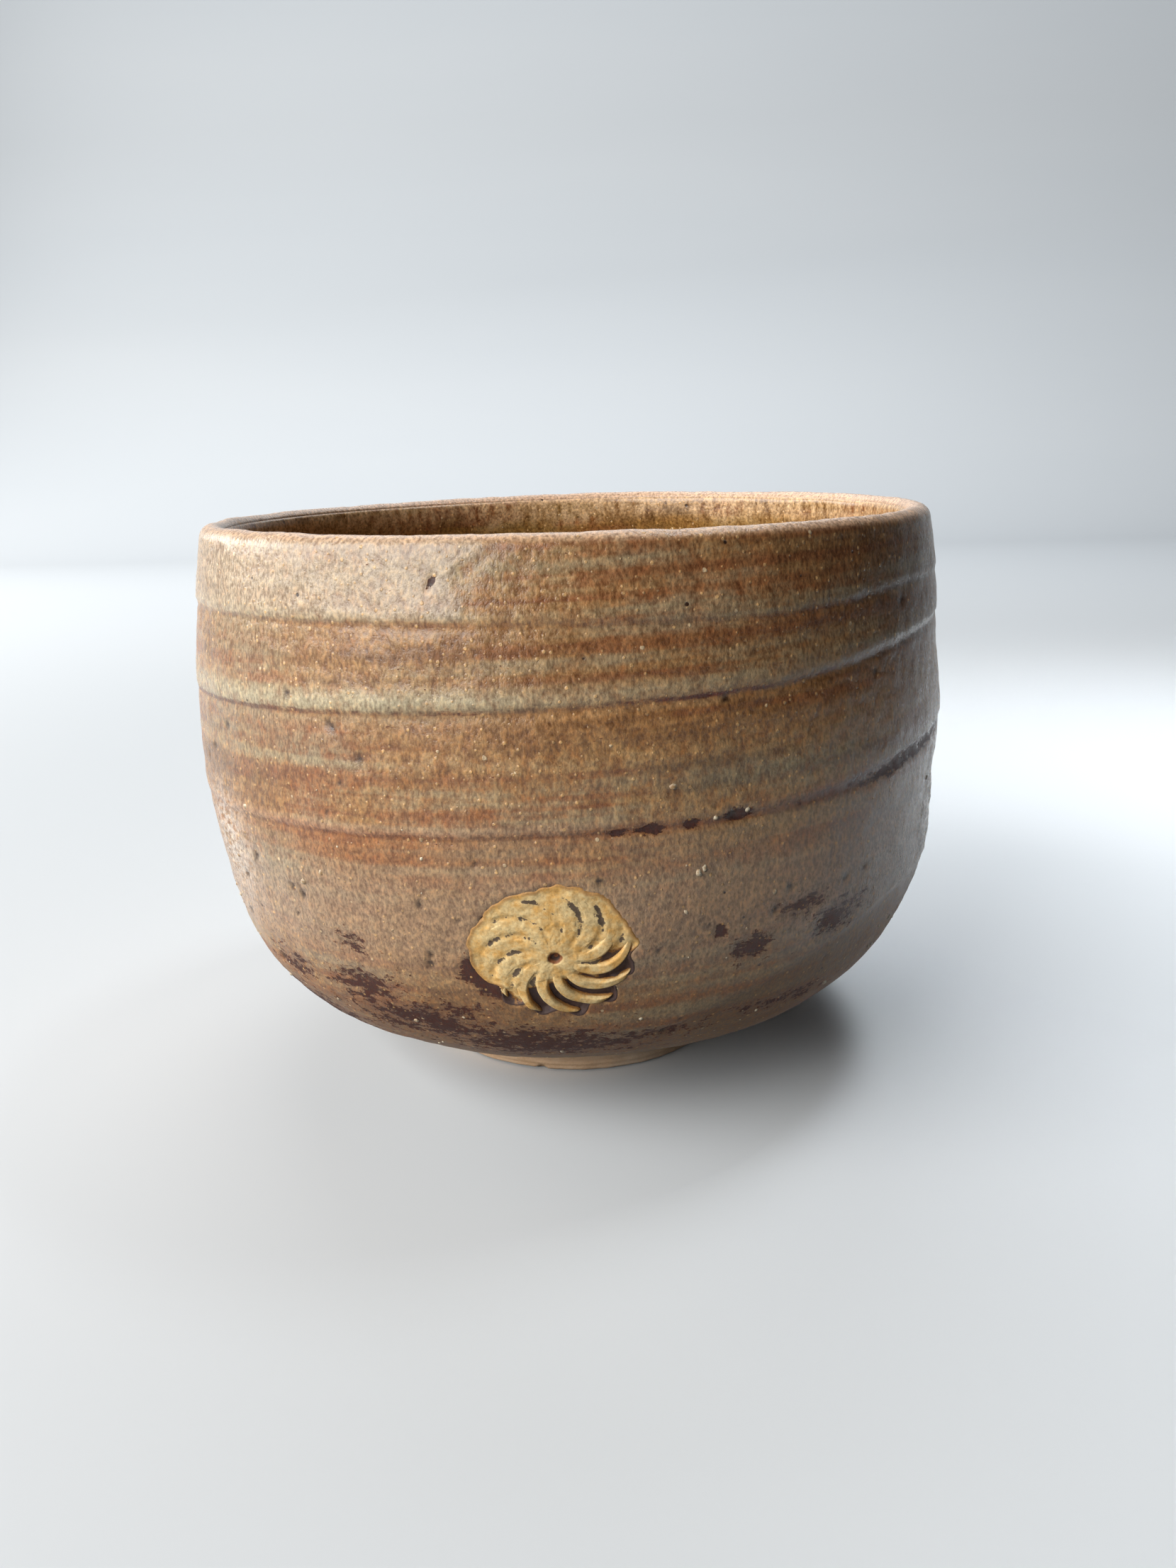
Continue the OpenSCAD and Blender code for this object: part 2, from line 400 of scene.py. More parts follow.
def outsideMarks(a, r, z, spot):
    # Everything that moves the outer skin along its normal, in mm, and the painted fields that go with it.
    gap, power, push, pale, rusty = ringField(a, z)
    crust = patches(a, z, crustPlaces)
    burnt = patches(a, z, burntPlaces)
    turn, spread, _ = rings["widens"]
    furrow = bell(gap + 0.3, 0.32) * bell(turnGap(a, turn), spread * 0.75) * (z < 58)
    burnt = np.maximum(burnt, 1.05 * furrow)
    # darker, browner glaze; on the right side, away from the windows, it is painted shade
    smoked = patches(a, z, darkGlazeAndShadePlaces)
    moss = patches(a, z, mossPlaces)
    # the pale skin of ash, whose colour also carries a painted reflection of the window
    ash = ashCoatAndSheenAt(a, z, spot)
    trimmed = 1 - smoothStep(-1.0, 0.8, z - ledgeHeight(a))
    fade = 1 - smoothStep(lipHeight - 1, bowl["height"], z)
    lift = push * fade - 0.28 * trimmed + ashSkin["lift"] * ash * fade
    for seed, (size, height) in enumerate(marks["lumps"]):
        lift = lift + height * fieldNoise(spot, size, 2, seed + 1.0)
    size, height = marks["throwing"]
    tilted = spot * np.array([0.06, 0.06, 1.0])
    tilted[..., 2] -= 0.04 * spot[..., 0]
    lift = lift + height * fieldNoise(tilted, size, 2, 5.0) * (1 - 0.6 * trimmed)
    lift = lift + 0.45 * crust * fieldNoise(spot, 2.2, 3, 8.0) + 0.12 * crust
    lift = lift - 0.16 * smoothStep(0.35, 0.7, burnt)
    pitted = np.zeros(lift.shape)
    for turn, height, radius, depth in pitList:
        across = turnGap(a, turn) * np.pi / 180 * r
        away = np.sqrt(across ** 2 + (z - height) ** 2) / radius
        hole = 1 - smoothStep(0.2, 1.0, away)
        lift = lift - depth * hole
        pitted = np.maximum(pitted, hole)
    turn, height, length, width, depth = marks["nick"]
    across, upward = turnGap(a, turn) * np.pi / 180 * r, z - height
    along, beside = across * 0.55 + upward * 0.83, across * 0.83 - upward * 0.55
    hole = bell(along, length / 2) * bell(beside, width / 2)
    lift = lift - depth * hole
    fields = {"ringGap": gap, "ringPower": power, "paleBand": pale, "rustBand": rusty, "crust": crust,
              # the nick's hollow is painted dark here as its shade
              "burnt": np.maximum(burnt, 1.5 * hole), "smoked": smoked, "moss": moss, "ashSkin": ash,
              "trimmed": trimmed, "pitted": pitted}
    return lift, fields


def insideMarks(a, r, z, spot):
    # The inside has softer finger rings, and the glaze hides the small marks.
    fade = 1 - smoothStep(lipHeight - 2, bowl["height"], z)
    climb = z - 11.0 * a / (2 * np.pi)
    wave = 0.20 * np.cos(2 * np.pi * climb / 11.0) * smoothStep(14, 26, z) * fade
    swirl = 0.16 * np.cos(2 * np.pi * (r / 5.5 - a / (2 * np.pi)))
    swirl = swirl * (1 - smoothStep(14, 20, z)) * smoothStep(3, 8, r)
    lumps = 0.18 * fieldNoise(spot, 16, 2, 11.0) + 0.05 * fieldNoise(spot, 4, 2, 12.0)
    return wave + swirl + lumps, {}


def columnTurns(count):
    # Angles round the bowl, closer together at the front, where the flower is.
    t = np.linspace(-np.pi, np.pi, count, endpoint=False)
    return t - 0.36 * np.sin(t)


# Flower: a round of yellow slip in a stamped hollow, with twelve equal petals that sweep one way

flower = {
    "height": (petalBox[0].z + petalBox[1].z) / 2 / mm,
    "radius": (petalBox[1].x - petalBox[0].x) / 2 / mm,
    "squash": 0.94,              # height of the round for its width
    "petals": 12,
    "sweep": 46,
    "root": 1.9,
    "fullness": 0.84,            # width of a petal for the room it has
    "petalTop": (0.22, -0.06),    # height of a petal's ridge where the slip ran off, and where it stayed
    "hollow": (0.75, 0.04),      # depth between the petals, in the same two places
    "stayed": 112,               # direction in which the slip stayed thickest, seen from the front
    "pit": (1.15, 0.6),          # radius and depth of the pit at the centre
    "hub": (2.6, 4.6),           # radii between which the slip that always stays at the centre ends
    "edge": 0.9,                 # unevenness of the slip's outline
}


def petalReach():
    return flower["radius"] - 0.5 - flower["root"]


def petalGap(rho, phi):
    # 0 along the middle of a petal and 0.5 along the middle of a furrow, at any distance and direction.
    s = np.clip((rho - flower["root"]) / petalReach(), 0, 1)
    phase = (np.degrees(phi) - flower["sweep"] * s ** 2) * flower["petals"] / 360
    return np.abs(phase - np.round(phase))


def slipStayed(u, v):
    direction = math.radians(flower["stayed"])
    spot = stacked(u, v, 0 * u)
    lean = (u * math.cos(direction) + v * math.sin(direction)) / flower["radius"]
    stayed = smoothStep(-0.60, -0.08, lean + 0.42 * fieldNoise(spot, 5, 2, 31.0))
    return np.maximum(stayed, 1 - smoothStep(*flower["hub"], np.hypot(u, v)))


def slipOutline(phi):
    # Radius at which the slip ends: round where it stayed, and scalloped between the tips where it ran off.
    radius = flower["radius"]
    rim = stacked(np.cos(phi), np.sin(phi), 0 * phi)
    stayed = slipStayed(radius * rim[..., 0], radius * rim[..., 1])
    ragged = flower["edge"] * fieldNoise(rim * 6, 2.6, 3, 32.0)
    scalloped = radius - 0.1 - 0.8 * (1 - np.cos(2 * np.pi * petalGap(radius, phi))) + 0.5 * ragged
    return scalloped + (radius + 0.4 + ragged - scalloped) * stayed


outlineTurns = np.linspace(-np.pi, np.pi, 721)
outlineRadii = slipOutline(outlineTurns)


def flowerHollow(a, z):
    # How far the wall and its glaze are pressed in under the flower.
    u = outsideBase(z) * np.sin(a)
    v = (z - flower["height"]) / flower["squash"]
    rho = np.where(np.abs(a) < 1, np.hypot(u, v), 99)
    outline = np.interp(np.arctan2(v, u), outlineTurns, outlineRadii)
    rise = smoothStep(-1.0, 0.0, rho - outline)
    return (1 - rise) * (1.15 + 1.15 * (1 - smoothStep(2.0, 4.0, rho)))


# Meshes from grids of points

def gridFaces(rows, columns, first=0, flip=False, closeRows=False):
    j, i = np.meshgrid(np.arange(rows if closeRows else rows - 1), np.arange(columns), indexing="ij")
    j2, i2 = (j + 1) % rows, (i + 1) % columns
    corners = [j * columns + i, j * columns + i2, j2 * columns + i2, j2 * columns + i]
    quads = np.stack(corners, -1).reshape(-1, 4)
    return ((quads[:, ::-1] if flip else quads) + first).tolist()


def rimFaces(outerStart, outerCount, innerStart, innerCount, flip=False):
    # Joins a fine loop to a coarse one, with one face for each coarse step.
    step = outerCount // innerCount
    faces = []
    for k in range(innerCount):
        fine = [outerStart + (k * step + n) % outerCount for n in range(step + 1)]
        face = fine[::-1] + [innerStart + k, innerStart + (k + 1) % innerCount]
        faces.append(face[::-1] if flip else face)
    return faces


def poleFaces(loopStart, count, pole, flip=False):
    faces = [[loopStart + i, loopStart + (i + 1) % count, pole] for i in range(count)]
    return [f[::-1] for f in faces] if flip else faces


def makePiece(name, points, faces, material, node, flatFrom=None, fields=None):
    # A smooth mesh that rides on the bowl and stands for a CAD node. Faces from flatFrom on stay flat.
    mesh = bpy.data.meshes.new(name)
    mesh.from_pydata(np.asarray(points).reshape(-1, 3).tolist(), [], faces)
    smooth = np.ones(len(faces), bool)
    if flatFrom is not None:
        smooth[flatFrom:] = False
    mesh.polygons.foreach_set("use_smooth", smooth)
    for fieldName, values in (fields or {}).items():
        field = mesh.attributes.new(fieldName, "FLOAT", "POINT")
        full = np.zeros(len(mesh.vertices), np.float32)
        full[:values.size] = values.reshape(-1)
        field.data.foreach_set("value", full)
    mesh.materials.append(material)
    mesh.validate()
    piece = bpy.data.objects.new(name, mesh)
    bpy.context.scene.collection.objects.link(piece)
    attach(piece, "root")
    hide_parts(node)


skin = skinPath()
seamIndex = int(np.argmax(skin[:, 1])) + 30      # the two glazes meet just inside the lip
outerSkin, innerSkin = skin[:seamIndex + 1], skin[seamIndex:]


def outsideSpacing(r, z):
    fine = smoothStep(18, 24, z) * (1 - smoothStep(79, 82, z))
    return np.where(z > lipHeight - 1, 0.40, 0.85 - 0.28 * fine)


def insideSpacing(r, z):
    return np.where(z > lipHeight - 3, 0.5, 1.0)


def coarser(spacing):
    return lambda r, z: spacing(r, z) * 3.2


def skinGrid(path, spacing, columns, inside, sink):
    # Points of the skin on a grid, pushed by its marks and then sunk below the surface.
    line = walkPath(path, spacing)
    normals = pathNormals(line)
    if inside:
        line, normals = line[:-1], normals[:-1]      # the axis itself is one point, added as a pole
    length = np.concatenate([[0], np.cumsum(np.linalg.norm(np.diff(line, axis=0), axis=1))])
    fromSeam = (length if inside else length[-1] - length)[:, None]
    a, r, z = columnTurns(columns)[None, :], line[:, :1], line[:, 1:]
    spot = place(a, r, z) / mm
    lift, fields = (insideMarks if inside else outsideMarks)(a, r, z, spot)
    lift = lift * smoothStep(0, 1.6, fromSeam) - sink(r, z)
    if not inside:
        lift = lift - flowerHollow(a, z)
    return place(a, r + lift * normals[:, :1], z + lift * normals[:, 1:]), fields


def surfaceOnly(r, z):
    return 0 * r


def outerDepth(r, z):
    return 0.25 + (bowl["glazeThickness"] - 0.25) * smoothStep(bowl["footHeight"], bowl["footHeight"] + 6, z)


def innerDepth(r, z):
    pool = np.clip(1 - (r / (insideRadius * 0.62)) ** 2, 0, 1) * (z < bowl["widestHeight"])
    return bowl["glazeThickness"] + (bowl["poolThickness"] - bowl["glazeThickness"]) * pool


columns, coarseColumns = bowl["columns"], bowl["columns"] // 4
outerFace, outerFields = skinGrid(outerSkin, outsideSpacing, columns, False, surfaceOnly)
outerBack, _ = skinGrid(outerSkin, coarser(outsideSpacing), coarseColumns, False, outerDepth)
innerFace, _ = skinGrid(innerSkin, insideSpacing, columns, True, surfaceOnly)
innerBack, _ = skinGrid(innerSkin, coarser(insideSpacing), coarseColumns, True, innerDepth)
print("wall shape ready:", outerFace.shape[0], "rows outside and", innerFace.shape[0], "inside")


# Glaze: ash glaze fired over iron-bearing stoneware, outside and inside. It is a satin, slightly sandy skin
# that breaks from rust brown to grey green, with pale ash above the throwing grooves and grit that shows.
# Above the top groove and just inside the lip, the pale colour is partly a painted reflection of the window.

outerLook = {
    "rust": "#9b6c42",
    "ochre": "#b68f60",
    "celadon": "#aaa084",
    "umber": "#6c4828",
    "red": "#8e5234",
    "low": "#ad9075",            # the greyer lower wall
    "paleAsh": "#c4ba9c",
    "pinkAsh": "#c79d80",
    "orange": "#a2642f",
    "cut": "#521404",
    "tornEdge": "#74401f",
    "burnt": "#3a1409",
    "trimmed": "#785735",
    "crust": "#dccfc2",
    "grit": "#e2c8a0",
    "ashSkin": "#bda990",
    "moss": "#94917a",
    # cream sand grains, which also stand for painted glints
    "sandAndGlint": "#e0b57c",
    "pore": "#372317",
    "lip": "#d6b498",
    "rimPaleAndSheen": "#a08058",
    "rimPaleAndSheenShare": 0.0,
    "greenShare": 0.55,
    "lowShare": 0.68,
    "cloudSize": (22, 12),       # width and height of the large drifts of colour
    "bandSize": (55, 1.9),       # the streaks that follow the finger lines
    "mottleSize": (1.7, 1.9),
    "tearSize": (2.0, 5 / 6),
    "grainSize": (0.45, 0.8),    # width and height of the fine sand, which the glaze drew out as it ran
    "sandSpacing": 0.85,
    "gritSpacing": 1.9,
    "poreSpacing": 2.4,
    "roughness": (0.20, 0.36),
    "dryness": 0.30,             # how much rougher it gets low down, where little ash fell
    "ior": 1.52,                 # typical of a fired glaze
    "grainHeight": 0.06,
    "mottleHeight": 0.14,
}

# Inside, the pale band just under the lip is thinner glaze with a painted reflection of the window light.
innerLook = dict(
    outerLook, rust="#7c5528", ochre="#9d743c", celadon="#94804f", umber="#523a20", low="#6f5a34",
    rimPaleAndSheen="#d8b58c", rimPaleAndSheenShare=0.9, greenShare=0.4, lowShare=0.7, cloudSize=(14, 12), bandSize=(30, 3.5),
    mottleSize=(1.4, 3.0), roughness=(0.22, 0.36), dryness=0.0, grainHeight=0.05, mottleHeight=0.05,
    grainSize=(0.5, 0.5))


def makeGlaze(name, look):
    material, spot = startMaterial(name)
    tone = tonesOf(look)
    xyz = addNode(material, "SeparateXYZ", None, {0: spot})
    height = xyz.outputs["Z"]
    tilted = addNode(material, "VectorMath", {"operation": "DOT_PRODUCT"}, {0: spot, 1: (-0.04, 0, 1)})
    along = addNode(material, "CombineXYZ", None, {"X": xyz.outputs["X"], "Y": xyz.outputs["Y"], "Z": tilted})
    field = {key: addNode(material, "Attribute", {"attribute_name": key}).outputs["Fac"]
             for key in outerFields}

    # Noise at each size that the real skin shows: where it lies, its detail and its roughness
    patterns = []
    for key, where, detail, rough in (
            ("cloud", along, 3, 0.5), ("band", along, 3, 0.5), ("mottle", spot, 5, 0.7),
            ("grain", spot, 2, 0.6), ("tear", along, 6, 0.75)):
        width, tall = look[key + "Size"]
        stretched = addNode(material, "Mapping", None,
                            {"Vector": where, "Scale": (1 / width, 1 / width, 1 / tall)})
        patterns.append(addNode(material, "TexNoise", None,
                                {"Vector": stretched, "Scale": 1, "Detail": detail, "Roughness": rough}))
    cloud, band, mottle, grain, tear = patterns

    drift = weighted(material, (cloud, 0.9), (band, 1.0), (mottle, 0.5))
    redness = weighted(material, (band, -0.8), (cloud, 1.0))
    breaks = weighted(material, (cloud, 1.2), (tear, 1.0))
    rimEdge = weighted(material, (cloud, 9.0), (height, 1.0))
    torn = weighted(material, (tear, 0.65), (mottle, 0.35), (grain, 0.22), (field["burnt"], 0.25))
    fromCut = weighted(material, (mottle, 0.9), (field["ringGap"], 1.0), (1.0, -0.25))
    fromCut = addNode(material, "Math", {"operation": "ABSOLUTE"}, {0: fromCut})

    # How much of a layer shows: its pattern, the values where it starts and is full, and its least and most
    mask = {}
    for key, ease, pattern, start, full, least, most in (
            ("warm", None, mottle, 0.36, 0.64, 0, 1),
            ("skinned", None, mottle, 0.30, 0.60, 0.4, 0.85),
            ("gathered", None, mottle, 0.25, 0.55, 0.35, 0.95),
            ("ashTone", None, height, 54, 62, 0, 1),
            ("dark", eased, drift, 1.20, 0.90, 0, 0.6),
            ("reddish", eased, redness, 0.06, 0.22, 0, 0.5),
            ("green", eased, drift, 1.12, 1.50, 0, look["greenShare"]),
            ("mossy", eased, mottle, 0.34, 0.60, 0.25, 1),
            ("lowDown", eased, tilted, 49, 41, 0, look["lowShare"]),
            ("browner", eased, tilted, 37, 26, 1, 0.15),
            ("cut", eased, fromCut, 0.46, 0.14, 0, 1),
            ("broken", eased, breaks, 1.0, 1.16, 0.25, 1),
            ("scab", eased, tear, 0.40, 0.56, 0, 1),
            ("tornEdge", eased, torn, 0.715, 0.775, 0, 0.75),
            ("burnt", eased, torn, 0.765, 0.80, 0, 0.94),
            ("lip", eased, height, 84.9, 86.3, 0, 0.9),
            # a pale band just inside the lip: thinner glaze with a painted reflection
            ("rimPaleAndSheen", eased, rimEdge, 84.5, 88.5, 0, look["rimPaleAndSheenShare"]),
            ("dry", eased, tilted, 36, 22, 0, look["dryness"])):
        mask[key] = addNode(
            material, "MapRange", ease,
            {0: pattern, "From Min": start, "From Max": full, "To Min": least, "To Max": most})
    # cream dots for the sand grains, which are partly painted glints
    grainAndGlintDot, _ = scattered(material, spot, look["sandSpacing"], 0.35, 0.34, 0.14, 0.75)
    gritDot, _ = scattered(material, spot, look["gritSpacing"], 0.7, 0.30, 0.05, 1.0, (grain, 0.25))
    poreDot, _ = scattered(material, spot, look["poreSpacing"], 0.75, 0.15, 0.05, 1.0)
    line = addNode(material, "Math", multiply, {0: mask["cut"], 1: field["ringPower"]})
    tone["ash"] = addNode(material, "Mix", inColour,
                          {"Factor": mask["ashTone"], "A": tone["pinkAsh"], "B": tone["paleAsh"]})
    colour = addNode(material, "Mix", inColour,
                     {"Factor": mask["warm"], "A": tone["rust"], "B": tone["ochre"]})

    # Layers from the ground up: the drifts, with painted shade on the right, the lower wall, the skin of ash
    # with a painted window reflection, the bands, of which the top one is painted sheen, and the line by the
    # groove, the trimmed zone, scabs, tears and pits, with the nick's shade painted dark, the lip and the
    # band inside it, thinner glaze with a painted reflection, the grains with painted glints, grit and pores
    for share, part, key in (
            # the darker glaze patches also carry painted shade on the right side
            (mask["dark"], 1, "umber"), (mask["reddish"], 1, "red"), (field["smoked"], 0.62, "umber"),
            (mask["green"], 1, "celadon"), (mask["mossy"], field["moss"], "moss"),
            # the skin of ash is painted paler with a reflection of the window
            (mask["lowDown"], mask["browner"], "low"), (mask["skinned"], field["ashSkin"], "ashSkin"),
            # pale bands above the grooves; the top one is painted sheen
            (mask["warm"], field["rustBand"], "orange"), (mask["gathered"], field["paleBand"], "ash"),
            (line, mask["broken"], "cut"), (field["trimmed"], 0.6, "trimmed"),
            (mask["scab"], field["crust"], "crust"), (mask["tornEdge"], 1, "tornEdge"),
            # the burnt layer also paints the shade in the nick
            (mask["burnt"], 1, "burnt"), (field["pitted"], 1, "pore"), (mask["lip"], 1, "lip"),
            # the band inside the lip is thinner glaze with a painted reflection
            # the cream grain dots are partly painted glints
            (mask["rimPaleAndSheen"], mask["warm"], "rimPaleAndSheen"), (grainAndGlintDot, 1, "sandAndGlint"), (gritDot, 1, "grit"),
            (poreDot, 1, "pore")):
        share = addNode(material, "Math", multiply, {0: share, 1: part})
        colour = addNode(material, "Mix", inColour, {"Factor": share, "A": colour, "B": tone[key]})
    # a tint along the fine grain; its bright end, lighter than the glaze itself, is painted sparkle
    sandTone = addNode(material, "ValToRGB",
                       {"stops": [(0.30, (0.58, 0.52, 0.48, 1)), (0.5, (1, 1, 1, 1)),
                                  (0.70, (1.55, 1.48, 1.36, 1))]}, {0: grain})
    colour = addNode(material, "Mix", tinting, {"Factor": 1.0, "A": colour, "B": sandTone})

    relief = weighted(material, (grain, look["grainHeight"]), (mottle, look["mottleHeight"]),
                      (poreDot, -0.05), (gritDot, 0.04), (grainAndGlintDot, 0.06), (mask["burnt"], -0.09))
    low, high = look["roughness"]
    roughness = addNode(material, "MapRange", None,
                        {0: grain, "From Min": 0.35, "From Max": 0.65, "To Min": low, "To Max": high})
    roughness = weighted(material, (roughness, 1.0), (mask["burnt"], 0.25), (mask["dry"], 1.0))
    return closeMaterial(material, colour, roughness, relief, look["ior"])


def shellPiece(name, face, back, fields, material, node, pole=None):
    # A closed shell: a fine face, a coarse back and thin edges. With a pole, the last rows close on the axis.
    rows, fineColumns = face.shape[:2]
    backRows, backColumns = back.shape[:2]
    backStart = rows * fineColumns
    points = [*face.reshape(-1, 3), *back.reshape(-1, 3)]
    faces = gridFaces(rows, fineColumns) + gridFaces(backRows, backColumns, backStart, flip=True)
    lastFine, lastBack = (rows - 1) * fineColumns, backStart + (backRows - 1) * backColumns
    if pole is not None:
        points += [pole[0], pole[1]]
        faces += poleFaces(lastFine, fineColumns, len(points) - 2)
        faces += poleFaces(lastBack, backColumns, len(points) - 1, flip=True)
    flatFrom = len(faces)
    faces += rimFaces(0, fineColumns, backStart, backColumns)
    if pole is None:
        faces += rimFaces(lastFine, fineColumns, lastBack, backColumns, flip=True)
    makePiece(name, points, faces, material, node, flatFrom, fields)


shellPiece("outerGlaze", outerFace, outerBack, outerFields,
           makeGlaze("Ash glaze on wood-fired stoneware", outerLook), "outer_glaze")
shellPiece("innerGlaze", innerFace, innerBack, {},
           makeGlaze("Olive ash glaze, pooled inside", innerLook), "inner_glaze",
           pole=((0, 0, floorHeight * mm), (0, 0, (floorHeight - bowl["poolThickness"]) * mm)))
print("glazes ready")


# Bare clay: sandy iron-bearing stoneware, fired without glaze. It is matte and open, with turning lines and
# dark specks.

clayLook = {
    "light": "#efd6ba",
    "body": "#dfba95",
    "dark": "#b98f63",
    "speck": "#5a3c26",
    "grit": "#e6d3b3",
    "grainSize": 0.4,
    "lineSpacing": 0.9,          # turning lines left by the trimming tool
    "lineHeight": 0.10,
    "cloudSize": 9,
    "speckSpacing": 1.6,
    "roughness": (0.74, 0.92),
    "ior": 1.5,
    "grainHeight": 0.05,
}


def makeBareClay(name, look):
    material, spot = startMaterial(name)
    tone = tonesOf(look)
    cloud = addNode(material, "TexNoise", None, {"Vector": spot, "Scale": 1 / look["cloudSize"], "Detail": 3})
    linePlace = addNode(material, "Mapping", None,
                        {"Vector": spot, "Scale": (0.04, 0.04, 1 / look["lineSpacing"])})
    lines = addNode(material, "TexNoise", None, {"Vector": linePlace, "Scale": 1, "Detail": 3})
    grain = addNode(material, "TexNoise", None,
                    {"Vector": spot, "Scale": 1 / look["grainSize"], "Detail": 3, "Roughness": 0.7})
    mixed = weighted(material, (cloud, 0.48), (lines, 0.288), (grain, 0.24))
    stops = [(0.30, tone["dark"]), (0.48, tone["body"]), (0.66, tone["light"])]
    colour = addNode(material, "ValToRGB", {"stops": stops}, {0: mixed})
    speck, pick = scattered(material, spot, look["speckSpacing"], 0.6, 0.16, 0.05, 0.8)
    speckTone = addNode(material, "Mix", inColour,
                        {"Factor": pick.outputs[1], "A": tone["speck"], "B": tone["grit"]})
    colour = addNode(material, "Mix", inColour, {"Factor": speck, "A": colour, "B": speckTone})
    relief = weighted(material, (grain, look["grainHeight"]), (lines, look["lineHeight"]))
    low, high = look["roughness"]
    roughness = addNode(material, "MapRange", None, {0: grain, "To Min": low, "To Max": high})
    return closeMaterial(material, colour, roughness, relief, look["ior"])


# Clay body, which shows on the underside, inside the foot ring

underside = {
    "columns": 280,
    "rows": 76,
    "radii": (0.6, 30.6),        # from the middle out to where the wall's clay begins
    "spiral": (4.2, 0.28),       # pitch and height of the trimming spiral inside the foot
    "spiralEnd": (17.2, 18.2),   # radii between which the spiral dies away, inside the foot ring
    "nub": (2.6, 0.7),           # radius and height of the point of clay left at the centre
}


def makeUnderside():
    r = np.linspace(*underside["radii"], underside["rows"])[:, None]
    a = columnTurns(underside["columns"])[None, :]
    pitch, height = underside["spiral"]
    spiral = height * np.abs(np.cos(np.pi * (r / pitch + a / (2 * np.pi)))) * smoothStep(1.5, 4, r)
    spiral = spiral * (1 - smoothStep(*underside["spiralEnd"], r))
    nubRadius, nubHeight = underside["nub"]
    z = bowl["footHeight"] + spiral - nubHeight * bell(r, nubRadius) * 0.9 + 0 * a
    return place(a, r, z)


disc = makeUnderside()
discRows, discColumns = disc.shape[:2]
bodyRows = np.concatenate([outerBack, innerBack])
bodyStart = discRows * discColumns
bodyPoints = [*disc.reshape(-1, 3), *bodyRows.reshape(-1, 3),
              (0, 0, (bowl["footHeight"] - underside["nub"][1]) * mm),
              (0, 0, (floorHeight - bowl["poolThickness"]) * mm)]
bodyFaces = gridFaces(discRows, discColumns) + gridFaces(bodyRows.shape[0], coarseColumns, bodyStart)
bodyFaces += poleFaces(0, discColumns, len(bodyPoints) - 2, flip=True)
innermost = bodyStart + (bodyRows.shape[0] - 1) * coarseColumns
bodyFaces += poleFaces(innermost, coarseColumns, len(bodyPoints) - 1)
bodyFaces += rimFaces((discRows - 1) * discColumns, discColumns, bodyStart, coarseColumns, flip=True)
# The clay body uses a darker copy of the foot's clay, as painted shade on the clay under the bowl.
makePiece("clayBody", bodyPoints, bodyFaces,
          makeBareClay("Stoneware clay, fired bare", dict(clayLook, body="#b58a60", dark="#8a5f3a")),
          "clay_body")


# Foot ring: turned from the same clay, with softened edges

foot = {
    "groundRadii": (19.0, 25.0),
    "bevel": 0.8,
    "turning": (1.1, 0.06),      # spacing and depth of the turning lines
    "wobble": (18, 0.22),
    "chips": 9,
    "columns": 360,
}


def makeFoot():
    inner, outer = foot["groundRadii"]
    b, top = foot["bevel"], bowl["footHeight"]
    corners = [(inner + b, 0), (outer - b, 0), (outer - 0.25, 0.25), (outer, b), (outer + 0.5, 2.4),
               (outer + 1.7, 4.1), (outer + 3.4, 5.1), (outer + 5.6, top), (inner - 0.6, top),
               (inner - 0.4, top - 0.6), (inner, b), (inner + 0.25, 0.25)]
    corners = np.array(corners + corners[:1], float)
    line = walkPath(corners, lambda r, z: 0.28 + 0.9 * ((z > top - 0.05) & (r < outer + 5)))[:-1]
    normals = pathNormals(line)
    a = np.linspace(-np.pi, np.pi, foot["columns"], endpoint=False)[None, :]
    r, z = line[:, :1], line[:, 1:]
    spot = stacked(r * np.sin(a), -r * np.cos(a), z)
    spacing, depth = foot["turning"]
    size, height = foot["wobble"]
    lift = depth * np.cos(2 * np.pi * (z + r * 0.6 - spacing * a / (2 * np.pi)) / spacing)
    lift = lift + height * fieldNoise(spot, size, 2, 21.0) + 0.07 * fieldNoise(spot, 2.0, 3, 22.0)
    random.seed(11)
    for _ in range(foot["chips"]):
        turn, radius = random.uniform(-180, 180), random.uniform(0.6, 1.5)
        edge = outer - 0.3 if random.random() < 0.7 else inner + 0.3
        away = np.sqrt((turnGap(a, turn) * np.pi / 180 * r) ** 2 + (r - edge) ** 2 + (z - 0.2) ** 2) / radius
        lift = lift - 0.45 * radius * (1 - smoothStep(0.1, 1.0, away))
    lift = lift * (1 - smoothStep(top - 0.5, top - 0.1, z))
    points = place(a, r + lift * normals[:, :1], z + lift * normals[:, 1:])
    points[..., 2] = np.maximum(points[..., 2], 0)
    return points, gridFaces(line.shape[0], foot["columns"], closeRows=True)


footPoints, footFaces = makeFoot()
makePiece("footRing", footPoints, footFaces, makeBareClay("Stoneware clay, turned foot", clayLook),
          "foot_ring")
print("clay body and foot ring ready")


def liftOff(a, r, z, lift):
    # A point moved off the wall by lift, along the wall's normal.
    slope = outsideBase(z + 0.5) - outsideBase(z - 0.5)
    length = np.sqrt(1 + slope ** 2)
    return place(a, r + lift / length, z - lift * slope / length)


def onWall(u, v, lift):
    # A point u to the right of the flower's centre and v above it, seen from the front, lifted off the wall.
    z = flower["height"] + v
    r = outsideBase(z)
    a = np.arcsin(u / r)
    return liftOff(a, r, z, lift + outsideMarks(a, r, z, place(a, r, z) / mm)[0])


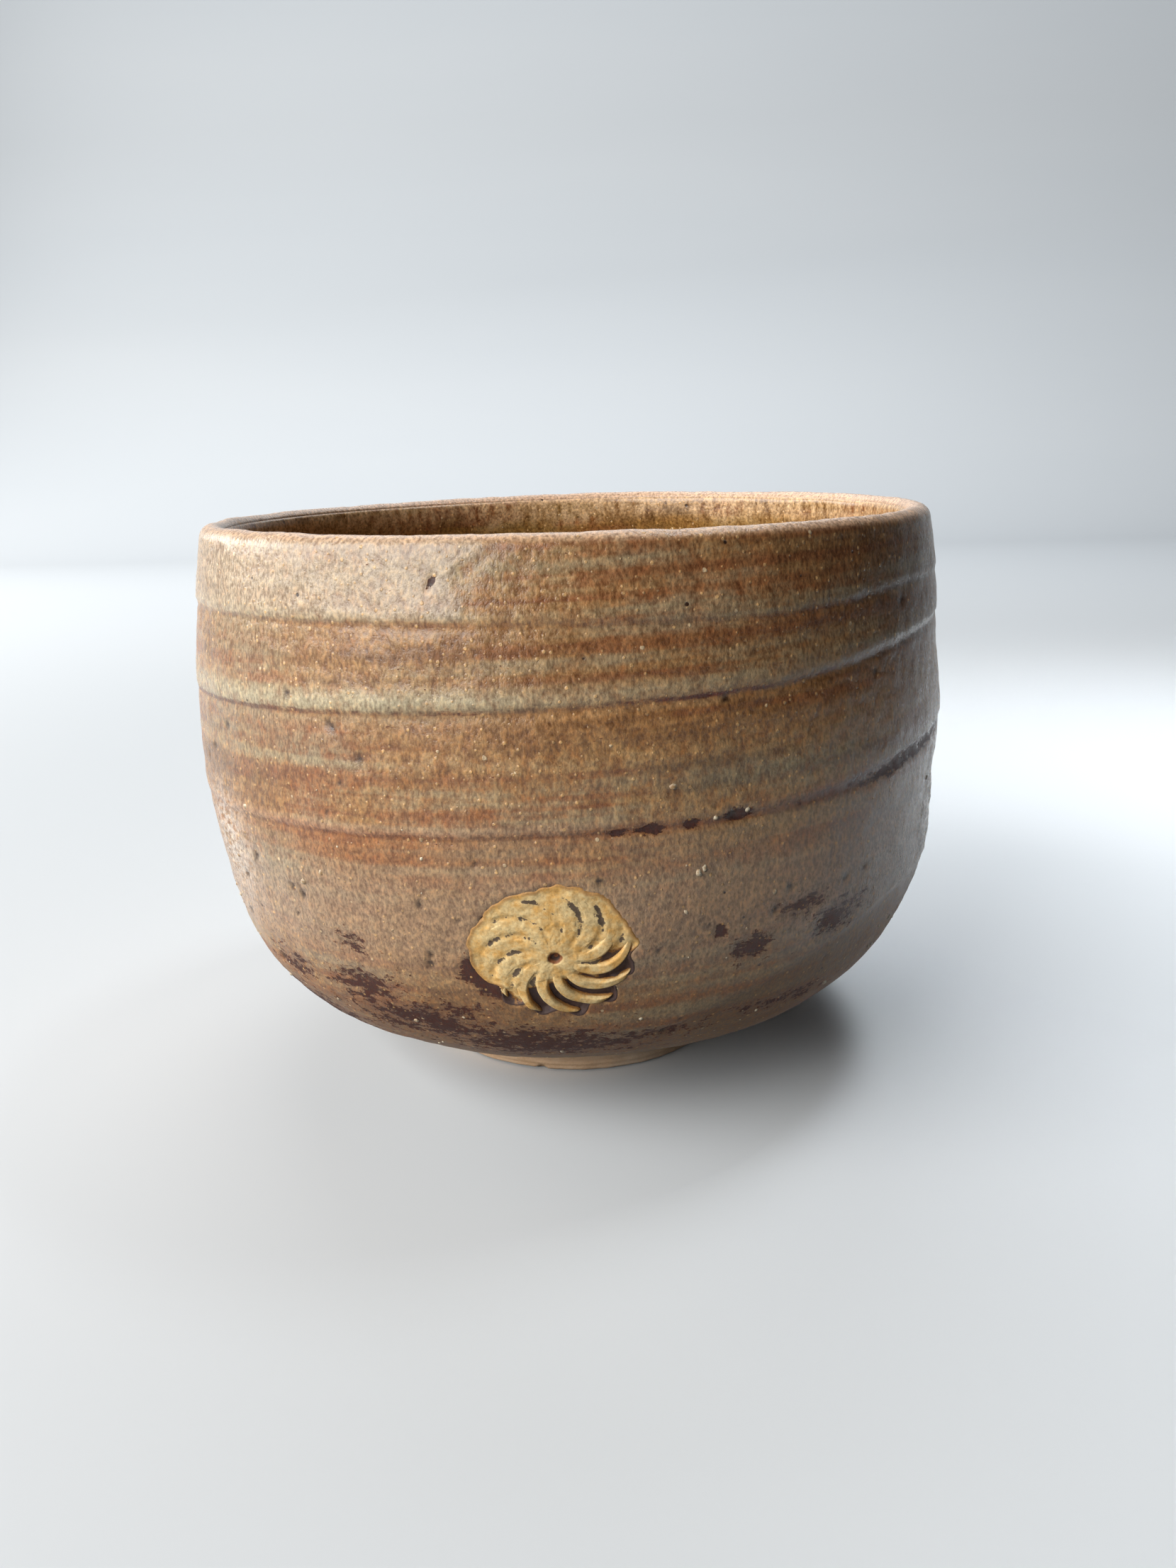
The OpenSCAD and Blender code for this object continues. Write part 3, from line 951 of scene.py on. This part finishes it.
def makeSlip():
    # The ground of the flower, sunk between the petals, with a skirt that runs on under the glaze round it.
    share = np.linspace(0.03, 1, 84)[:, None]
    phi = np.linspace(-np.pi, np.pi, 300, endpoint=False)[None, :]
    outline = np.interp(phi, outlineTurns, outlineRadii)
    rho = share * (outline + 1.2)
    u, v = rho * np.cos(phi), rho * np.sin(phi) * flower["squash"]
    spot = stacked(u, v, 0 * u)
    stayed = slipStayed(u, v)
    furrow = smoothStep(0.22, 0.5, petalGap(rho, phi))
    furrow = furrow * smoothStep(2.2, 4.5, rho) * (1 - smoothStep(9, 10.5, rho))
    deep, shallow = flower["hollow"]
    past = rho - outline
    lift = -(deep + (shallow - deep) * stayed) + 0.09 * fieldNoise(spot, 1.4, 3, 33.0)
    lift = lift - 0.12 * furrow * stayed
    lift = lift + smoothStep(-0.9, -0.1, past) * (0.03 - lift)
    lift = lift + smoothStep(-0.1, 0.8, past) * (-0.8 - lift)
    radius, depth = flower["pit"]
    pit = 1 - smoothStep(radius * 0.4, radius, rho + 0.3 * fieldNoise(spot, 1.5, 2, 34.0))
    lift = lift - depth * pit
    face = onWall(u, v, lift)
    back = onWall(u, v, np.minimum(lift, -0.4) - 0.5)
    rows, columns = face.shape[:2]
    first = rows * columns
    centre = onWall(np.zeros((1, 2)), np.zeros((1, 2)), lift[0].mean() - np.array([[0, 0.5]]))
    points = [*face.reshape(-1, 3), *back.reshape(-1, 3), *centre.reshape(-1, 3)]
    faces = gridFaces(rows, columns, 0, flip=True) + gridFaces(rows, columns, first)
    faces += poleFaces(0, columns, 2 * first) + poleFaces(first, columns, 2 * first + 1, flip=True)
    faces += rimFaces(first - columns, columns, 2 * first - columns, columns)
    fields = {"stayed": stayed, "pit": pit, "furrow": furrow, "edge": smoothStep(-1.4, 0.0, past) * stayed}
    return points, faces, {key: value + 0 * lift for key, value in fields.items()}


def makePetals():
    points, faces, sides, stayed, crowns = [], [], [], [], []
    rows, width = 48, 15
    s, t = np.linspace(0, 1, rows)[:, None], np.linspace(-1, 1, width)[None, :]
    ring = [(j, 0) for j in range(rows)] + [(rows - 1, i) for i in range(1, width)]
    ring += [(j, width - 1) for j in range(rows - 2, -1, -1)] + [(0, i) for i in range(width - 2, 0, -1)]
    deep, shallow = flower["hollow"]
    gone, kept = flower["petalTop"]
    for petal in range(flower["petals"]):
        reach = flower["root"] + petalReach() * s
        half = 12 + 694 / flower["petals"] * np.sin(np.radians(128 * s ** 0.8))
        half = flower["fullness"] * half * np.sqrt(1 - 0.8 * np.clip((s - 0.88) / 0.12, 0, 1) ** 2)
        turn = np.radians(360 * petal / flower["petals"] + flower["sweep"] * s ** 2 + t * half / reach)
        u, v = reach * np.cos(turn), reach * np.sin(turn) * flower["squash"]
        spot = stacked(u, v, 0 * u)
        stay = slipStayed(u, v)
        ground = -(deep + (shallow - deep) * stay) - 0.12
        top = gone + (kept - gone) * stay + 0.07 * fieldNoise(spot, 2.0, 2, 36.0)
        crown = (1 - np.abs(t) ** 9) * np.clip(1 - (2 * s - 1) ** 16, 0, 1)
        face, under = onWall(u, v, ground + (top - ground) * crown), onWall(u, v, ground - 0.4)
        first, count = len(points), rows * width
        points += [*face.reshape(-1, 3), *under.reshape(-1, 3)]
        stayed += [stay, stay]
        crowns += [crown, 0 * crown]
        for j in range(rows - 1):
            for i in range(width - 1):
                corner = first + j * width + i
                quad = [corner, corner + width, corner + width + 1, corner + 1]
                faces += [quad, [n + count for n in quad[::-1]]]
        loop = [first + j * width + i for j, i in ring]
        for n, corner in enumerate(loop):
            following = loop[(n + 1) % len(loop)]
            sides.append([corner, corner + count, following + count, following])
    return points, faces + sides, len(faces), {"stayed": np.array(stayed), "crown": np.array(crowns)}


# Slip: yellow ochre slip brushed into the stamp, and gone where it ran off the furrows. It is dry,
# with a fine grain and a dark rusty pit at the centre.

slipLook = {
    "cream": "#f6d89e",
    "yellow": "#eeba6c",
    "edge": "#b07a3e",           # where the slip thins out over the glaze
    "furrow": "#3c2c2e",
    "rust": "#8a4a22",
    "pore": "#2c1a14",
    "grainSize": 0.4,
    "mottleSize": 1.7,
    "mottleHeight": 0.08,
    "roughness": (0.55, 0.78),
    "ior": 1.5,
    "grainHeight": 0.05,
}


def makeSlipMaterial(name, look, raised):
    material, spot = startMaterial(name)
    tone = tonesOf(look)
    field = {key: addNode(material, "Attribute", {"attribute_name": key}).outputs["Fac"]
             for key in ("stayed", "pit", "crown", "furrow", "edge")}
    mottle = addNode(material, "TexNoise", None,
                     {"Vector": spot, "Scale": 1 / look["mottleSize"], "Detail": 4, "Roughness": 0.65})
    grain = addNode(material, "TexNoise", None,
                    {"Vector": spot, "Scale": 1 / look["grainSize"], "Detail": 3, "Roughness": 0.7})
    warm = addNode(material, "MapRange", None, {0: mottle, "From Min": 0.36, "From Max": 0.60})
    colour = addNode(material, "Mix", inColour, {"Factor": warm, "A": tone["yellow"], "B": tone["cream"]})

    # Layers from the ground up: the pattern, the values where it starts and is full, its most, and its tone
    if raised:
        kept = weighted(material, (field["stayed"], 1.1), (field["crown"], 1.0), (mottle, 0.5))
        layers = ((kept, 1.0, 0.72, 0.95, "edge"), (kept, 0.62, 0.42, 0.95, "furrow"))
    else:
        kept = weighted(material, (mottle, 0.9), (field["stayed"], 1.0))
        dashes = weighted(material, (field["furrow"], 0.22), (mottle, 1.0))
        thinned = weighted(material, (mottle, 0.9), (field["edge"], 1.0))
        layers = ((kept, 1.12, 0.98, 0.95, "edge"), (kept, 1.0, 0.84, 0.95, "furrow"),
                  (dashes, 0.70, 0.75, 0.9, "furrow"), (thinned, 1.0, 1.5, 0.8, "edge"),
                  (field["pit"], 0.02, 0.3, 0.92, "rust"), (field["pit"], 0.5, 0.9, 0.92, "pore"))
    for pattern, start, full, most, key in layers:
        share = addNode(material, "MapRange", eased,
                        {0: pattern, "From Min": start, "From Max": full, "To Max": most})
        colour = addNode(material, "Mix", inColour, {"Factor": share, "A": colour, "B": tone[key]})
    sandTone = addNode(material, "ValToRGB",
                       {"stops": [(0.34, (0.80, 0.76, 0.70, 1)), (0.5, (1, 1, 1, 1)),
                                  (0.66, (1.15, 1.15, 1.12, 1))]}, {0: grain})
    colour = addNode(material, "Mix", tinting, {"Factor": 1.0, "A": colour, "B": sandTone})
    relief = weighted(material, (grain, look["grainHeight"]), (mottle, look["mottleHeight"]))
    low, high = look["roughness"]
    roughness = addNode(material, "MapRange", None, {0: grain, "To Min": low, "To Max": high})
    return closeMaterial(material, colour, roughness, relief, look["ior"])


slipPoints, slipFaces, slipFields = makeSlip()
makePiece("flowerSlip", slipPoints, slipFaces, makeSlipMaterial("Ochre slip, run thin", slipLook, False),
          "flower_slip", None, slipFields)
petalPoints, petalFaces, petalSides, petalFields = makePetals()
makePiece("flowerPetals", petalPoints, petalFaces,
          makeSlipMaterial("Ochre slip, raised petals", slipLook, True),
          "flower_petals", petalSides, petalFields)
print("flower ready")


# Feldspar grains: white grit in the clay that melted a little and stands out of the glaze. It is hard and
# half glassy.

grit = {
    "count": 190,
    "radius": (0.15, 0.68),
    "sunk": 0.45,                # share of a grain's radius below the glaze
    "clearOfFlower": 14,
    "light": "#e6d8bc",
    "stain": "#a88760",
    "veinScale": 1.6,
    "veinHeight": 0.05,
    "roughness": (0.25, 0.5),
    "ior": 1.52,
}


def makeGrains():
    random.seed(19)
    points, faces = [], []
    ball = bmesh.new()
    bmesh.ops.create_icosphere(ball, subdivisions=2, radius=1)
    ballPoints = np.array([v.co[:] for v in ball.verts])
    ballFaces = [[v.index for v in f.verts] for f in ball.faces]
    ball.free()
    while len(points) < grit["count"]:
        turn, z = random.uniform(-180, 180), random.triangular(9, 66, 20)
        size = grit["radius"][0] + (grit["radius"][1] - grit["radius"][0]) * random.random() ** 2.2
        a, r = np.radians(turn), float(outsideBase(z))
        if math.hypot(r * math.sin(a), z - flower["height"]) < grit["clearOfFlower"] and abs(turn) < 60:
            continue
        at = np.array([[[r * math.sin(a), -r * math.cos(a), z]]])
        lift = outsideMarks(np.array([[a]]), np.array([[r]]), np.array([[z]]), at)[0][0, 0]
        centre = liftOff(a, r, z, lift - grit["sunk"] * size) / mm
        bend = fieldNoise(ballPoints * 1.1 + len(points), 1.0, 2, 41.0)
        shape = ballPoints * (1 + 0.28 * bend)[:, None] * [size, size * random.uniform(0.6, 0.9), size * 0.8]
        turned = Euler([random.uniform(0, 6.3) for _ in range(3)]).to_matrix()
        first = len(points) * len(ballPoints)
        points.append(shape @ np.array(turned).T + centre.reshape(3))
        faces += [[n + first for n in face] for face in ballFaces]
    return np.concatenate(points) * mm, faces


def makeFeldspar(name, look):
    material, spot = startMaterial(name)
    tone = tonesOf(look)
    veins = addNode(material, "TexNoise", None, {"Vector": spot, "Scale": look["veinScale"], "Detail": 4})
    stops = [(0.38, tone["stain"]), (0.58, tone["light"])]
    colour = addNode(material, "ValToRGB", {"stops": stops}, {0: veins})
    low, high = look["roughness"]
    roughness = addNode(material, "MapRange", None, {0: veins, "To Min": low, "To Max": high})
    relief = weighted(material, (veins, look["veinHeight"]))
    return closeMaterial(material, colour, roughness, relief, look["ior"])


grainPoints, grainFaces = makeGrains()
makePiece("feldsparGrains", grainPoints, grainFaces, makeFeldspar("Feldspar grit, half melted", grit),
          "feldspar_grains")
print("feldspar grains ready")


# Stage: a pale paper floor that sweeps up behind the bowl, two windows on the left, weaker lamps behind and
# on the right, and the camera

stage = {
    "paper": ("#dadfe3", "#e0e4e7"),
    "halfWidth": 2.4,            # metres, as are the other stage sizes
    "front": -2.4,
    "back": 1.5,
    "bend": 0.5,
    "top": 0.8,
    "windowSize": (1.37, 1.07),
    "windowPower": 29,
    "sideSize": (1.4, 0.42),
    "daylight": (1.0, 0.985, 0.96),
    "cool": (0.94, 0.97, 1.0),
    "aim": (0, 0, 0.05),
    "sky": (0.80, 0.88, 1.0, 1.0),
    "skyStrength": 0.03,
}

# The side window gives as much light for its size as the window. A lamp has the turn and rise of where it
# hangs, how far away that is in metres, its size, watts and colour, what it points at, and its spread.
sidePower = stage["windowPower"] * math.prod(stage["sideSize"]) / math.prod(stage["windowSize"])
lamps = (
    ("window", -51.7, 28, 1.4, stage["windowSize"], stage["windowPower"], stage["daylight"], stage["aim"],
     180),
    ("sideWindow", -106, 17, 1.4, stage["sideSize"], sidePower, stage["daylight"], stage["aim"], 180),
    ("backdropLight", 0, 48, 1.6, (2.6, 0.5), 6, (0.90, 0.95, 1.0), (0, 1.4, 0.35), 100),
    # over the floor behind on the right, where its pool of light shines in the glaze
    ("overFloor", 120, 80, 0.8, (0.2, 0.2), 0.3, stage["cool"], (0.20, 0.10, 0), 40),
    ("behind", 186, 46, 1.2, (1.0, 0.8), 5, stage["cool"], stage["aim"], 180),
)

view = {
    "place": (10.03, -197.46, 95.3),
    "tiltDown": 15.44,
    "turn": 2.2,
    "roll": -1.58,
    "lens": 27.67,
}


def makePaper():
    bend, back = stage["bend"], stage["back"]
    arc = np.radians(np.linspace(-90, 0, 25))
    curve = [(back - bend + bend * math.cos(t), bend + bend * math.sin(t)) for t in arc]
    line = [(stage["front"], 0.0), *curve, (back, stage["top"])]
    half = stage["halfWidth"]
    points = [(x, y, z) for y, z in line for x in (-half, half)]
    faces = [(2 * n, 2 * n + 1, 2 * n + 3, 2 * n + 2) for n in range(len(line) - 1)]
    mesh = bpy.data.meshes.new("paperSweep")
    mesh.from_pydata(points, [], faces)
    mesh.polygons.foreach_set("use_smooth", [True] * len(faces))
    paper = bpy.data.objects.new("paperSweep", mesh)
    bpy.context.scene.collection.objects.link(paper)
    material, _ = startMaterial("Matt paper, faintly mottled")
    mottle = addNode(material, "TexNoise", None, {"Scale": 3, "Detail": 4})
    darker, lighter = (hexToLinear(shade) for shade in stage["paper"])
    colour = addNode(material, "ValToRGB", {"stops": [(0.3, darker), (0.7, lighter)]}, {0: mottle})
    shader = addNode(material, "BsdfPrincipled", None, {"Base Color": colour, "Roughness": 0.9})
    addNode(material, "OutputMaterial", None, {"Surface": shader})
    mesh.materials.append(material)
    paper.visible_diffuse = False      # so that the shaded side stays dark, as it would on a dark table
    return paper


def makeLight(name, turn, rise, away, size, power, colour, target, spread):
    light = bpy.data.lights.new(name, "AREA")
    light.shape, light.size, light.size_y = "RECTANGLE", size[0], size[1]
    light.energy, light.color, light.spread = power, colour, math.radians(spread)
    lamp = bpy.data.objects.new(name, light)
    a, e = math.radians(turn), math.radians(rise)
    target = Vector(target)
    towards = Vector((math.sin(a) * math.cos(e), -math.cos(a) * math.cos(e), math.sin(e)))
    lamp.location = target + away * towards
    lamp.rotation_euler = (target - lamp.location).to_track_quat("-Z", "Y").to_euler()
    bpy.context.scene.collection.objects.link(lamp)


makePaper()
for lamp in lamps:
    makeLight(*lamp)

world = bpy.data.worlds.new("studio")
bpy.context.scene.world = world
world.use_nodes = True
world.node_tree.nodes["Background"].inputs["Color"].default_value = stage["sky"]
world.node_tree.nodes["Background"].inputs["Strength"].default_value = stage["skyStrength"]
bpy.context.scene.view_settings.view_transform = "Standard"

lens = bpy.data.cameras.new("camera")
lens.lens, lens.sensor_width, lens.sensor_fit, lens.clip_start = view["lens"], 36, "AUTO", 0.01
camera = bpy.data.objects.new("camera", lens)
camera.location = Vector(view["place"]) * mm
tilt = Euler((math.radians(90 - view["tiltDown"]), 0, math.radians(view["turn"]))).to_matrix()
camera.rotation_euler = (tilt @ Euler((0, 0, math.radians(view["roll"]))).to_matrix()).to_euler()
bpy.context.scene.collection.objects.link(camera)
bpy.context.scene.camera = camera
